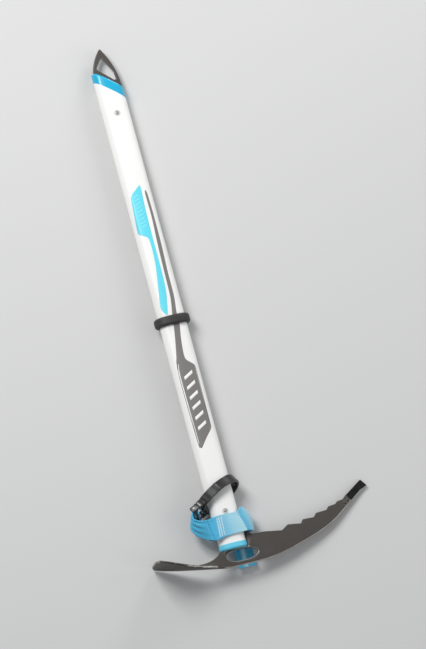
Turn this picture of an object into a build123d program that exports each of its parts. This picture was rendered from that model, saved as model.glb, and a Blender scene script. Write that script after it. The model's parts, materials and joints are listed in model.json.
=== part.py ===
from build123d import *
import math
import os

# A 60 cm ice axe, lying flat, in millimetres.
# The origin is the centre of the head's eye, in the middle of the head plate.
# +X points to the pick tip, +Y along the shaft to the spike, +Z up, square to the plate.

# Shaft: an oval tube along Y, with an oblique cut at the spike end
SHAFT_X = -7.5
SHAFT_WIDTH = 31.0
SHAFT_DEPTH = 20.0
EDGE_RADIUS = 9.3
WALL = 1.2
TUBE_START = 14.0
TUBE_CUT_Y = 538.5
CUT_ANGLE = math.degrees(math.atan2(25.0, 31.0))
BLANK_END = 620.0

# Rivets that hold the head and the spike in the tube
RIVET_RADIUS = 2.5
RIVET_HEAD_RADIUS = 3.4
RIVET_PROUD = 0.3
HEAD_RIVET_Y = 50.0
SPIKE_RIVET_Y = 511.0

# Head plate, its eye, and the tang inside the tube
PLATE = 5.0
EYE_LENGTH = 36.0
EYE_WIDTH = 12.8
SPINE_Y = -11.6
TANG_LEFT = -19.5
TANG_RIGHT = 4.5
TANG_END = 68.0
COLLAR_START = 7.6
COLLAR_GROW = 0.4
NOTCH_RIGHT = 8.5
TANG_ROUNDING = 5.0
RIM_CHAMFER = 0.9
SPINE_CHAMFER = 1.1
TEETH_CHAMFER = 0.4
SPINE_BAND = 3.0
TEETH_LINE_SLOPE = 0.22
TEETH_LINE_START = -4.0

# Adze: a curved blade that spreads out like a fan
ADZE_ROOT_X = -20.0
ADZE_ROOT_Y = -11.0
ADZE_ROOT_HALF_WIDTH = 2.3
ADZE_ROOT_THICKNESS = 3.2
ADZE_CORNER_X = -95.0
ADZE_END_X = -99.0
ADZE_END_Y = 11.0
ADZE_HALF_WIDTH = 27.0
ADZE_EDGE_THICKNESS = 1.6
WEB_LEFT = -58.0
WEB_RIGHT = -24.0

# Steel tip of the pick, let into the end of the pick
TIP_X = 132.6
TIP_Y = 31.8
TIP_ANGLE = 30.0
TIP_THICKNESS = 4.4
TONGUE_LENGTH = 11.0
TONGUE_WIDTH = 3.6
TONGUE_THICKNESS = 2.0
TONGUE_GAP = 0.05
TIP_PIN_RADIUS = 0.9
TIP_PIN_PLACES = (-3.2, -7.6)

# Plastic collar at the head and plastic plug at the spike
FIT_GAP = 0.05
COLLAR_INSERT = 50.0
COLLAR_ROUNDING = 2.4
PLUG_BAND = 13.2
PLUG_INSERT_START = 488.0
PLUG_ROUNDING = 2.2

# Spike plate
SPIKE_PLATE = 4.0
SPIKE_TANG_START = 492.0
SPIKE_TANG_LEFT = -18.5
SPIKE_TANG_RIGHT = 3.5
SPIKE_EYE_START = 544.0
SPIKE_EYE_END = 579.0
SPIKE_EYE_LEFT = -16.5
SPIKE_EYE_ROUNDING = 1.6
SPIKE_CHAMFER = 0.6
SPIKE_BARE_START = 545.0

# Rubber stopper ring
STOPPER_Y = 270.0
STOPPER_WIDTH = 10.5
STOPPER_WALL = 4.8
RUNNING_GAP = 0.06

# Slider ring: a plastic band that sits tilted on the shaft, with two ears and a pin
RING_CENTRE = (-8.4, 70.8, 0.0)
RING_TURN = 26.4
RING_LEAN = 22.0
RING_LENGTH = 47.6
RING_DEPTH = 31.4
RING_EDGE_RADIUS = 13.0
RING_WALL = 2.8
RING_BAND = 11.0
RING_ROUNDING = 0.9
EAR_THICKNESS = 3.0
EAR_INNER = 10.4
EAR_START = -14.0
EAR_REACH = -38.0
EAR_HEIGHT = 8.4
RING_PIN_PLACE = -34.0
RING_PIN_RADIUS = 1.6

# Leash: flat webbing, sewn round the slider's pin and wrapped once round the shaft
WEBBING = 2.0
STRAND_WIDTH = 19.6
WRAP_START = 23.0
WRAP_WIDTH = 22.0
WRAP_LEFT = -29.5
WRAP_RIGHT = 18.5
WRAP_GAP = 0.8
TAIL_LEFT = -5.0
TAIL_WIDTH = 20.0
TAIL_START = -13.0
TAIL_END = 36.0
TAIL_DROP = 12.4
TAIL_ROUNDING = 6.0
STITCH_THICKNESS = 0.5
STITCH_WIDTH = 1.2
STITCH_LENGTH = 18.0
STITCH_PLACES = (-20.5, -18.0, -15.5)


def across(y, x=SHAFT_X):
    """The plane square to the shaft at y, with its middle at x, facing the spike."""
    return Plane(origin=(x, y, 0), x_dir=(1, 0, 0), z_dir=(0, 1, 0))


def oblique(y):
    """The plane of the oblique cut that meets the shaft's centreline at y."""
    lean = math.radians(CUT_ANGLE)
    return Plane(origin=(SHAFT_X, y, 0), z_dir=(math.sin(lean), math.cos(lean), 0))


def draw_oval(width, depth, edge_radius, mode=Mode.ADD):
    """Draw the shaft's oval in the open sketch: two shallow arcs and two tight ones."""
    half_width = width / 2
    half_depth = depth / 2
    reach = half_width - edge_radius
    face_radius = (reach**2 + half_depth**2 - edge_radius**2) / (2 * (half_depth - edge_radius))
    drop = face_radius - half_depth
    share = face_radius / (face_radius - edge_radius)
    x = reach * share
    y = drop * share - drop
    with BuildLine() as outline:
        ThreePointArc((-x, y), (0, half_depth), (x, y))
        ThreePointArc((x, y), (half_width, 0), (x, -y))
        ThreePointArc((x, -y), (0, -half_depth), (-x, -y))
        ThreePointArc((-x, -y), (-half_width, 0), (-x, y))
    make_face(outline.edges(), mode=mode)


def draw_shaft_oval(grow, mode=Mode.ADD):
    """Draw the shaft's outer oval, grown by that much all round."""
    draw_oval(SHAFT_WIDTH + 2 * grow, SHAFT_DEPTH + 2 * grow, EDGE_RADIUS + grow, mode)


def in_the_open(edge):
    """True for an edge of the head plate that the collar and the tube don't cover."""
    middle = edge.center()
    return middle.Y < COLLAR_START - 0.5 or not WEB_RIGHT - 0.5 < middle.X < NOTCH_RIGHT + 0.5


def on_the_spine(edge):
    """True for an edge along the top of the pick and the spine."""
    middle = edge.center()
    below_the_teeth = middle.Y < TEETH_LINE_SLOPE * middle.X + TEETH_LINE_START
    return middle.Y < SPINE_Y + SPINE_BAND or (middle.X > 0 and below_the_teeth)


def bare_outline(plate):
    """The outer edges of both faces of the head plate, where nothing covers them."""
    faces = plate.faces().sort_by(Axis.Z)
    outline = faces[0].outer_wire().edges() + faces[-1].outer_wire().edges()
    return outline.filter_by(in_the_open)


def at_the_spike_eye(edge):
    """True for an upright edge at a corner of the spike's eye."""
    middle = edge.center()
    return SPIKE_EYE_START < middle.Y < SPIKE_EYE_END and middle.X > SPIKE_EYE_LEFT


def fan_side(side):
    """Points along one side of the adze, seen square to its face, from the root to the corner."""
    half_widths = (
        (ADZE_ROOT_X, ADZE_ROOT_HALF_WIDTH),
        (-45.0, 5.8),
        (-60.0, 12.0),
        (-75.0, 20.4),
        (-87.0, 25.4),
        (ADZE_CORNER_X, ADZE_HALF_WIDTH),
    )
    return [(x, side * half_width) for x, half_width in half_widths]


def save(piece, name):
    """Label a finished piece and write its STEP file."""
    piece.part.label = name
    export_step(piece.part, f"parts/{name}.step")


os.makedirs("parts", exist_ok=True)

# ---- shaft tube ----
with BuildPart() as shaft_tube:
    with BuildSketch(across(TUBE_START)):
        draw_shaft_oval(0)
        draw_shaft_oval(-WALL, Mode.SUBTRACT)
    extrude(amount=BLANK_END - TUBE_START)
    split(bisect_by=oblique(TUBE_CUT_Y), keep=Keep.BOTTOM)
    with BuildSketch(Plane.XY):
        with Locations((SHAFT_X, HEAD_RIVET_Y), (SHAFT_X, SPIKE_RIVET_Y)):
            Circle(RIVET_RADIUS)
    extrude(amount=SHAFT_DEPTH, both=True, mode=Mode.SUBTRACT)
save(shaft_tube, "shaft_tube")

# ---- adze blade: a curved strip, cut to a fan ----
with BuildPart() as adze_blade:
    with BuildSketch(Plane.XY):
        with BuildLine():
            root = (ADZE_ROOT_X, ADZE_ROOT_Y)
            upper = ThreePointArc(root, (-60.0, -1.9), (ADZE_END_X, ADZE_END_Y))
            edge = Line(upper @ 1, upper @ 1 + Vector(0.34, 0.94) * ADZE_EDGE_THICKNESS)
            inner_root = (ADZE_ROOT_X, ADZE_ROOT_Y + ADZE_ROOT_THICKNESS)
            lower = ThreePointArc(edge @ 1, (-60.0, 0.5), inner_root)
            Line(lower @ 1, upper @ 0)
        make_face()
    extrude(amount=ADZE_HALF_WIDTH + 5, both=True)
    with BuildSketch(Plane.XZ):
        with BuildLine():
            near = Spline(fan_side(1))
            far = Spline(fan_side(-1))
            ThreePointArc(near @ 1, (ADZE_END_X, 0), far @ 1)
            Line(near @ 0, far @ 0)
        make_face()
    extrude(amount=40, both=True, mode=Mode.INTERSECT)

# ---- head: spine, eye, pick, tang and adze, forged in one ----
with BuildPart() as head:
    with BuildSketch(Plane.XY.offset(-PLATE / 2)):
        with BuildLine():
            web = Spline(
                (WEB_LEFT, -0.9),
                (-46.0, -0.5),
                (-36.0, 0.6),
                (-29.0, 3.4),
                (WEB_RIGHT, COLLAR_START),
            )
            tang = Polyline(
                web @ 1,
                (TANG_LEFT, COLLAR_START),
                (TANG_LEFT, TANG_END),
                (TANG_RIGHT, TANG_END),
                (TANG_RIGHT, COLLAR_START),
                (NOTCH_RIGHT, COLLAR_START),
                (NOTCH_RIGHT, 27.0),
                (10.5, 27.0),
            )
            shoulder = ThreePointArc(tang @ 1, (13.2, 21.6), (18.5, 19.4))
            teeth = Polyline(
                shoulder @ 1,
                (31.2, 18.6),
                (49.6, 15.4),
                (57.5, 20.2),
                (72.5, 17.8),
                (75.6, 21.8),
                (88.2, 21.2),
                (91.8, 25.2),
                (104.3, 25.8),
                (107.0, 29.0),
                (115.4, 29.8),
                (118.0, 32.2),
                (124.8, 33.0),
                (129.5, 37.1),
            )
            joint = Line(teeth @ 1, (TIP_X + 1.3, TIP_Y - 2.5))
            top = Spline(
                joint @ 1,
                (106.0, 11.0),
                (70.0, -2.0),
                (12.0, SPINE_Y),
                tangents=((-0.82, -0.57), (-1.0, 0.0)),
            )
            spine = Line(top @ 1, (-14.0, SPINE_Y))
            Polyline(spine @ 1, (-24.0, -10.2), (-40.0, -6.2), (WEB_LEFT, -1.6), web @ 0)
        make_face()
        Ellipse(EYE_LENGTH / 2, EYE_WIDTH / 2, mode=Mode.SUBTRACT)
    extrude(amount=PLATE)
    rim = head.edges().filter_by(GeomType.ELLIPSE)
    chamfer(rim, RIM_CHAMFER)
    chamfer(bare_outline(head).filter_by(on_the_spine), SPINE_CHAMFER)
    chamfer(bare_outline(head).filter_by(on_the_spine, reverse=True), TEETH_CHAMFER)
    tang_corners = head.edges().filter_by(Axis.Z).group_by(Axis.Y)[-1]
    fillet(tang_corners, TANG_ROUNDING)
    add(adze_blade.part)
    tip_end = Plane(origin=(TIP_X, TIP_Y, 0), x_dir=Vector(1, 0, 0).rotate(Axis.Z, TIP_ANGLE))
    with BuildSketch(tip_end):
        with Locations((-TONGUE_LENGTH / 2 + 1, 0)):
            Rectangle(TONGUE_LENGTH + 2, TONGUE_WIDTH + 2 * TONGUE_GAP)
    extrude(amount=TONGUE_THICKNESS / 2 + TONGUE_GAP, both=True, mode=Mode.SUBTRACT)
    with BuildSketch(tip_end):
        with Locations(*[(place, 0) for place in TIP_PIN_PLACES]):
            Circle(TIP_PIN_RADIUS)
    extrude(amount=PLATE, both=True, mode=Mode.SUBTRACT)
    with BuildSketch(Plane.XY):
        with Locations((SHAFT_X, HEAD_RIVET_Y)):
            Circle(RIVET_RADIUS)
    extrude(amount=PLATE, both=True, mode=Mode.SUBTRACT)
save(head, "head")

# ---- steel tip of the pick, with its tongue ----
with BuildPart() as pick_tip:
    with BuildSketch(tip_end):
        with BuildLine():
            Polyline(
                (0.05, 6.0),
                (23.5, 7.1),
                (24.5, -1.7),
                (24.0, -2.6),
                (14.7, -1.5),
                (0.05, -2.8),
                close=True,
            )
        make_face()
    extrude(amount=TIP_THICKNESS / 2, both=True)
    outer_edges = pick_tip.edges().filter_by(Axis.Z, reverse=True)
    chamfer(outer_edges, 0.4)
    with BuildSketch(tip_end):
        with Locations((-TONGUE_LENGTH / 2 + 1, 0)):
            Rectangle(TONGUE_LENGTH + 1, TONGUE_WIDTH)
    extrude(amount=TONGUE_THICKNESS / 2, both=True)
    with BuildSketch(tip_end):
        with Locations(*[(place, 0) for place in TIP_PIN_PLACES]):
            Circle(TIP_PIN_RADIUS)
    extrude(amount=PLATE, both=True, mode=Mode.SUBTRACT)
save(pick_tip, "pick_tip")

# ---- two pins that hold the steel tip ----
with BuildPart() as pick_tip_pins:
    with BuildSketch(tip_end):
        with Locations(*[(place, 0) for place in TIP_PIN_PLACES]):
            Circle(TIP_PIN_RADIUS)
    extrude(amount=PLATE / 2 + 0.1, both=True)
save(pick_tip_pins, "pick_tip_pins")

# ---- head collar: a rounded flange, and an insert that fills the tube round the tang ----
with BuildPart() as head_collar:
    with BuildSketch(across(COLLAR_START)):
        draw_shaft_oval(COLLAR_GROW)
    extrude(amount=TUBE_START - COLLAR_START)
    lower_rim = head_collar.edges().group_by(Axis.Y)[0]
    fillet(lower_rim, COLLAR_ROUNDING)
    with BuildSketch(across(TUBE_START)):
        draw_shaft_oval(-WALL - FIT_GAP)
    extrude(amount=COLLAR_INSERT)
    with BuildSketch(Plane.XY):
        with Locations(((TANG_LEFT + TANG_RIGHT) / 2, TUBE_START)):
            slot_width = TANG_RIGHT - TANG_LEFT + 2 * FIT_GAP
            Rectangle(slot_width, 2 * COLLAR_INSERT + 20)
        with Locations((SHAFT_X, HEAD_RIVET_Y)):
            Circle(RIVET_RADIUS)
    extrude(amount=PLATE / 2 + FIT_GAP, both=True, mode=Mode.SUBTRACT)
    with BuildSketch(Plane.XY):
        with Locations((SHAFT_X, HEAD_RIVET_Y)):
            Circle(RIVET_RADIUS)
    extrude(amount=SHAFT_DEPTH, both=True, mode=Mode.SUBTRACT)
save(head_collar, "head_collar")


def build_rivet(y):
    """A through rivet with a low round head on each broad face of the shaft."""
    with BuildPart() as rivet:
        with BuildSketch(Plane.XY):
            with Locations((SHAFT_X, y)):
                Circle(RIVET_RADIUS)
        extrude(amount=SHAFT_DEPTH / 2, both=True)
        for side in (1, -1):
            face = Plane(origin=(SHAFT_X, y, side * SHAFT_DEPTH / 2), z_dir=(0, 0, side))
            with BuildSketch(face):
                Circle(RIVET_HEAD_RADIUS)
            extrude(amount=RIVET_PROUD)
    return rivet


# ---- rivets ----
head_rivet = build_rivet(HEAD_RIVET_Y)
save(head_rivet, "head_rivet")
spike_rivet = build_rivet(SPIKE_RIVET_Y)
save(spike_rivet, "spike_rivet")

# ---- spike plate with its three-cornered eye ----
with BuildPart() as spike:
    with BuildSketch(Plane.XY):
        with BuildLine():
            right = ThreePointArc((-5.9, 587.6), (3.6, 566.6), (7.6, 541.0))
            tang = Polyline(
                right @ 1,
                (SPIKE_TANG_RIGHT, 536.0),
                (SPIKE_TANG_RIGHT, SPIKE_TANG_START),
                (SPIKE_TANG_LEFT, SPIKE_TANG_START),
                (SPIKE_TANG_LEFT, 558.0),
                (-20.3, 563.0),
            )
            left = ThreePointArc(tang @ 1, (-14.6, 577.6), (-7.3, 587.6))
            Line(left @ 1, right @ 0)
        make_face()
        with BuildLine():
            Polyline((-7.4, 577.8), (-15.6, 566.0), (3.4, 548.0), (2.6, 560.0), close=True)
        make_face(mode=Mode.SUBTRACT)
    extrude(amount=SPIKE_PLATE / 2, both=True)
    eye_corners = spike.edges().filter_by(Axis.Z).filter_by(at_the_spike_eye)
    fillet(eye_corners, SPIKE_EYE_ROUNDING)
    broad_faces = spike.faces().filter_by(Plane.XY).sort_by(SortBy.AREA)[-2:]
    bare_edges = broad_faces.edges().filter_by(lambda e: e.center().Y > SPIKE_BARE_START)
    chamfer(bare_edges, SPIKE_CHAMFER)
    with BuildSketch(Plane.XY):
        with Locations((SHAFT_X, SPIKE_RIVET_Y)):
            Circle(RIVET_RADIUS)
    extrude(amount=SPIKE_PLATE, both=True, mode=Mode.SUBTRACT)
save(spike, "spike")

# ---- spike plug: fills the tube round the spike's tang, and shows as an oblique band ----
with BuildPart() as spike_plug:
    with BuildSketch(across(PLUG_INSERT_START)):
        draw_shaft_oval(0)
    extrude(amount=BLANK_END - PLUG_INSERT_START)
    split(bisect_by=oblique(TUBE_CUT_Y + PLUG_BAND), keep=Keep.BOTTOM)
    fillet(spike_plug.faces().sort_by(Axis.Y)[-1].edges(), PLUG_ROUNDING)
    with BuildSketch(across(PLUG_INSERT_START)):
        draw_shaft_oval(5)
        draw_shaft_oval(-WALL - FIT_GAP, Mode.SUBTRACT)
    sleeve = extrude(amount=BLANK_END - PLUG_INSERT_START, mode=Mode.PRIVATE)
    add(sleeve.split(oblique(TUBE_CUT_Y), keep=Keep.BOTTOM), mode=Mode.SUBTRACT)
    with BuildSketch(Plane.XY):
        with BuildLine():
            Polyline(
                (SPIKE_TANG_LEFT - FIT_GAP, SPIKE_TANG_START - 10),
                (SPIKE_TANG_LEFT - FIT_GAP, 558.0),
                (-20.4, 562.8),
                (-24.0, 575.0),
                (8.2, 575.0),
                (7.7, 540.9),
                (SPIKE_TANG_RIGHT + FIT_GAP, 535.9),
                (SPIKE_TANG_RIGHT + FIT_GAP, SPIKE_TANG_START - 10),
                close=True,
            )
        make_face()
    extrude(amount=SPIKE_PLATE / 2 + FIT_GAP, both=True, mode=Mode.SUBTRACT)
    with BuildSketch(Plane.XY):
        with Locations((SHAFT_X, SPIKE_RIVET_Y)):
            Circle(RIVET_RADIUS)
    extrude(amount=SHAFT_DEPTH, both=True, mode=Mode.SUBTRACT)
save(spike_plug, "spike_plug")

# ---- rubber stopper ring ----
with BuildPart() as stopper_ring:
    with BuildSketch(across(STOPPER_Y - STOPPER_WIDTH / 2)):
        draw_shaft_oval(STOPPER_WALL)
    extrude(amount=STOPPER_WIDTH)
    fillet(stopper_ring.edges().filter_by(Axis.Y, reverse=True), 3.0)
    with BuildSketch(across(STOPPER_Y - STOPPER_WIDTH)):
        draw_shaft_oval(RUNNING_GAP)
    extrude(amount=2 * STOPPER_WIDTH, mode=Mode.SUBTRACT)
save(stopper_ring, "stopper_ring")

# ---- slider ring: u runs along its long axis and v through its depth ----
turn = math.radians(RING_TURN)
long_axis = Vector(math.cos(turn), math.sin(turn), 0)
short_axis = Vector(0, 0, 1).rotate(Axis((0, 0, 0), tuple(long_axis)), -RING_LEAN)
ring_plane = Plane(origin=RING_CENTRE, x_dir=long_axis, z_dir=long_axis.cross(short_axis))
side_plane = Plane(origin=RING_CENTRE, x_dir=long_axis, z_dir=short_axis)
outer_size = (RING_LENGTH + 2 * RING_WALL, RING_DEPTH + 2 * RING_WALL)

with BuildPart() as slider_ring:
    with BuildSketch(ring_plane):
        draw_oval(*outer_size, RING_EDGE_RADIUS + RING_WALL)
    extrude(amount=RING_BAND / 2, both=True)
    ring_axis = Axis(RING_CENTRE, ring_plane.z_dir)
    fillet(slider_ring.faces().sort_by(ring_axis)[0].edges(), RING_ROUNDING)
    fillet(slider_ring.faces().sort_by(ring_axis)[-1].edges(), RING_ROUNDING)
    with BuildSketch(side_plane.offset(EAR_INNER)) as ear:
        with Locations(((EAR_START + EAR_REACH) / 2, 0)):
            RectangleRounded(EAR_START - EAR_REACH, EAR_HEIGHT, 3.6)
    extrude(amount=EAR_THICKNESS)
    with BuildSketch(side_plane.offset(-EAR_INNER)):
        add(ear.sketch_local)
    extrude(amount=-EAR_THICKNESS)
    with BuildSketch(ring_plane):
        draw_oval(RING_LENGTH, RING_DEPTH, RING_EDGE_RADIUS)
    extrude(amount=RING_BAND, both=True, mode=Mode.SUBTRACT)
    with BuildSketch(side_plane):
        with Locations((RING_PIN_PLACE, 0)):
            Circle(RING_PIN_RADIUS)
    extrude(amount=RING_DEPTH, both=True, mode=Mode.SUBTRACT)
save(slider_ring, "slider_ring")

# ---- steel pin across the slider's ears ----
with BuildPart() as slider_pin:
    with BuildSketch(side_plane):
        with Locations((RING_PIN_PLACE, 0)):
            Circle(RING_PIN_RADIUS)
    extrude(amount=EAR_INNER + EAR_THICKNESS, both=True)
    chamfer(slider_pin.edges(), 0.3)
save(slider_pin, "slider_pin")

# ---- leash: loop round the pin, strand, wrap round the shaft, tail behind the head ----
pin_centre = side_plane.from_local_coords((RING_PIN_PLACE, 0, 0))
loop_radius = RING_PIN_RADIUS + 0.1
wrap_middle = (WRAP_LEFT + WRAP_RIGHT) / 2
wrap_inner = (WRAP_RIGHT - WRAP_LEFT, SHAFT_DEPTH + 2 * WRAP_GAP)
wrap_radius = EDGE_RADIUS + WRAP_GAP

with BuildPart() as leash_webbing:
    with BuildSketch(across(WRAP_START, wrap_middle)):
        wrap_outer = [size + 2 * WEBBING for size in wrap_inner]
        draw_oval(*wrap_outer, wrap_radius + WEBBING)
        draw_oval(*wrap_inner, wrap_radius, Mode.SUBTRACT)
    extrude(amount=WRAP_WIDTH)
    strand_plane = Plane(origin=pin_centre, x_dir=(1, 0, 0), z_dir=(0, 0, 1))
    with BuildSketch(strand_plane):
        with BuildLine() as route:
            bend = ThreePointArc((-2.8, 0.5), (-6.2, -12.5), (2.5, -26.5))
            ThreePointArc(bend @ 1, (5.5, -28.2), (9.4, -29.0))
        trace(route.line, line_width=WEBBING)
        Circle(loop_radius + WEBBING)
    extrude(amount=STRAND_WIDTH / 2, both=True)
    with BuildSketch(Plane.XY.offset(-TAIL_DROP)):
        middle = (TAIL_START + TAIL_END) / 2
        with Locations((TAIL_LEFT + TAIL_WIDTH / 2, middle)):
            Rectangle(TAIL_WIDTH, TAIL_END - TAIL_START)
    extrude(amount=-WEBBING)
    tail_corners = leash_webbing.edges().filter_by(Axis.Z).group_by(Axis.Y)[0]
    fillet(tail_corners, TAIL_ROUNDING)
    with BuildSketch(side_plane):
        with Locations((RING_PIN_PLACE, 0)):
            Circle(loop_radius)
    extrude(amount=RING_DEPTH, both=True, mode=Mode.SUBTRACT)
save(leash_webbing, "leash_webbing")

# ---- bar tacks: rows of thread that close the webbing on itself ----
front_z = SHAFT_DEPTH / 2 + WRAP_GAP + WEBBING
with BuildPart() as leash_stitching:
    with BuildSketch(Plane.XY.offset(front_z - STITCH_THICKNESS)):
        with Locations(*[(x, WRAP_START + WRAP_WIDTH / 2) for x in STITCH_PLACES]):
            Rectangle(STITCH_WIDTH, STITCH_LENGTH)
    extrude(amount=STITCH_THICKNESS)
save(leash_stitching, "leash_stitching")
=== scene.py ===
import json
import math

import bmesh
import bpy
import numpy as np
from mathutils import Matrix, Vector


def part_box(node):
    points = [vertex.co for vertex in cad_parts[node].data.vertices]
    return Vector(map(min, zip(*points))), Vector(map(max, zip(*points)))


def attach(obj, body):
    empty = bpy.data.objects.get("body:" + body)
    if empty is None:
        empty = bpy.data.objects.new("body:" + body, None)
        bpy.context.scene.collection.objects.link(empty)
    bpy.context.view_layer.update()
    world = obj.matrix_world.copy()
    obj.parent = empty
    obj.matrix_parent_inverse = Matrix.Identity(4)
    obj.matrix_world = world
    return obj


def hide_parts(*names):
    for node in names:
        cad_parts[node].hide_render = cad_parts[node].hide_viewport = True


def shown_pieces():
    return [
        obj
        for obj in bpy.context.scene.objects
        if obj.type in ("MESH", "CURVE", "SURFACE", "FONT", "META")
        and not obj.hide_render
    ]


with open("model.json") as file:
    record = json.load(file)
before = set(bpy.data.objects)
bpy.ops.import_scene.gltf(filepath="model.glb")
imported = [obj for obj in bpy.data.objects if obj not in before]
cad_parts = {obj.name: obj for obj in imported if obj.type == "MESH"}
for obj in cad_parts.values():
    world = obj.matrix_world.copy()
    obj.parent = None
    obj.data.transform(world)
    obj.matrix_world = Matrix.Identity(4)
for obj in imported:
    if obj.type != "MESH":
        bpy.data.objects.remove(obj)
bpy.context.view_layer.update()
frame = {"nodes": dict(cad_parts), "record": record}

# Millimetres in metres, and the two faces of the shaft
MM = 0.001
FRONT, BACK = 1, -1
nodes = frame["nodes"]
scene = bpy.context.scene

# The shaft's section, in millimetres: an oval of two broad arcs and two tight ones
SHAFT_X = -7.5
HALF_WIDTH = 15.5
HALF_DEPTH = 10.0
EDGE_RADIUS = 9.3

# The slider ring's place and size, in millimetres
RING_CENTRE = np.array((-8.4, 70.8, 0.0))
RING_TURN = math.radians(26.4)
RING_LEAN = math.radians(22.0)
RING_HALF_LENGTH = 23.8
RING_HALF_DEPTH = 15.7
RING_EDGE_RADIUS = 13.0
RING_WALL = 2.8
RING_HALF_BAND = 5.5
RING_GROOVES = (3.6, 1.8, 0.0, -1.8, -3.6)
GROOVE_DEPTH = 0.55
RIB_PLACE = 0.8
RIB_HEIGHT = 0.85
SMOOTH_END = -15.5
EAR_PLACE = 11.9
PIN_PLACE = -34.0
PIN_RADIUS = 1.6

# A print's depth in the shaft's surface, and the heights of the lower and the upper print
FILM_DEPTH = 0.1
LOW_FILM = 0.03
TOP_FILM = 0.06

# The webbing's thickness in millimetres, and how much thicker its selvages are
TAPE = 1.3
SELVAGE = 1.28

# The leash: where its folds and bar tacks cross the shaft's front, how far the folds and the
# painted highlight slant, the middle of the front band, the place of the tail, and the place of
# the fold along the tail, from -1 to 1 across it
LEFT_FOLD_X = -29.2
RIGHT_FOLD_X = 8.4
FOLD_SLANT = 2.4
PAINTED_HIGHLIGHT_SLANT = 0.218
BAND_MIDDLE_Y = 34.0
BAR_TACK_PLACES = (-20.5, -18.0, -15.5)
TAIL_X = 5.0
TAIL_FOLD = 0.15

# A point near the axe's balance point, in millimetres. Which way the axe lies follows from it
NEAR_BALANCE = (-3.0, 200.0, 0.0)

# Base colours, linear
COLOURS = {
    "white": (0.90, 0.895, 0.87),
    "cyan": (0.13, 0.70, 0.84),
    "grey": (0.20, 0.19, 0.18),
    "alloy": (0.078, 0.070, 0.062),
    "tip": (0.012, 0.012, 0.012),
    "collar": (0.13, 0.60, 0.80),
    "plug": (0.010, 0.42, 0.66),
    "rubber": (0.030, 0.029, 0.028),
    "black": (0.012, 0.011, 0.011),
    "webbing": (0.030, 0.50, 0.82),
    # Pale yarn, also the colour of the painted highlight on the tape
    "pale_yarn_and_highlight": (0.55, 0.88, 0.97),
    "thread": (0.72, 0.90, 0.96),
    "steel": (0.50, 0.50, 0.49),
    "scratch": (0.28, 0.27, 0.25),
    # Lighter metal along edges: partly bare metal, partly painted highlight
    "bare_alloy_and_highlight": (0.56, 0.535, 0.49),
    "bare_steel_and_highlight": (0.58, 0.57, 0.55),
    "pale_cyan": (0.26, 0.78, 0.88),
    "floor": (0.62, 0.62, 0.61),
}

# Where a plate's surface stops being a broad face, and starts being an upright side: the
# height of its normal, between two limits
BROAD_FACE = (0.93, 0.98)
UPRIGHT_SIDE = (0.30, 0.42)

# The limits between which the lighter metal on the head and the spike fades, partly wear and
# partly painted highlight, in millimetres
EYE_EDGE_X = (19.6, 19.2)
EYE_EDGE_Y = (8.2, 7.8)
SPINE_START_X = (-26.0, -20.0)
BESIDE_THE_PLATE_Z = (2.55, 2.75)
ADZE_SIDE_X = (-74.0, -60.0)
CUTTING_EDGE_X = (-94.8, -96.2)
SPIKE_START_Y = (500.0, 510.0)


# ---------------------------------------------------------------- materials


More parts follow.
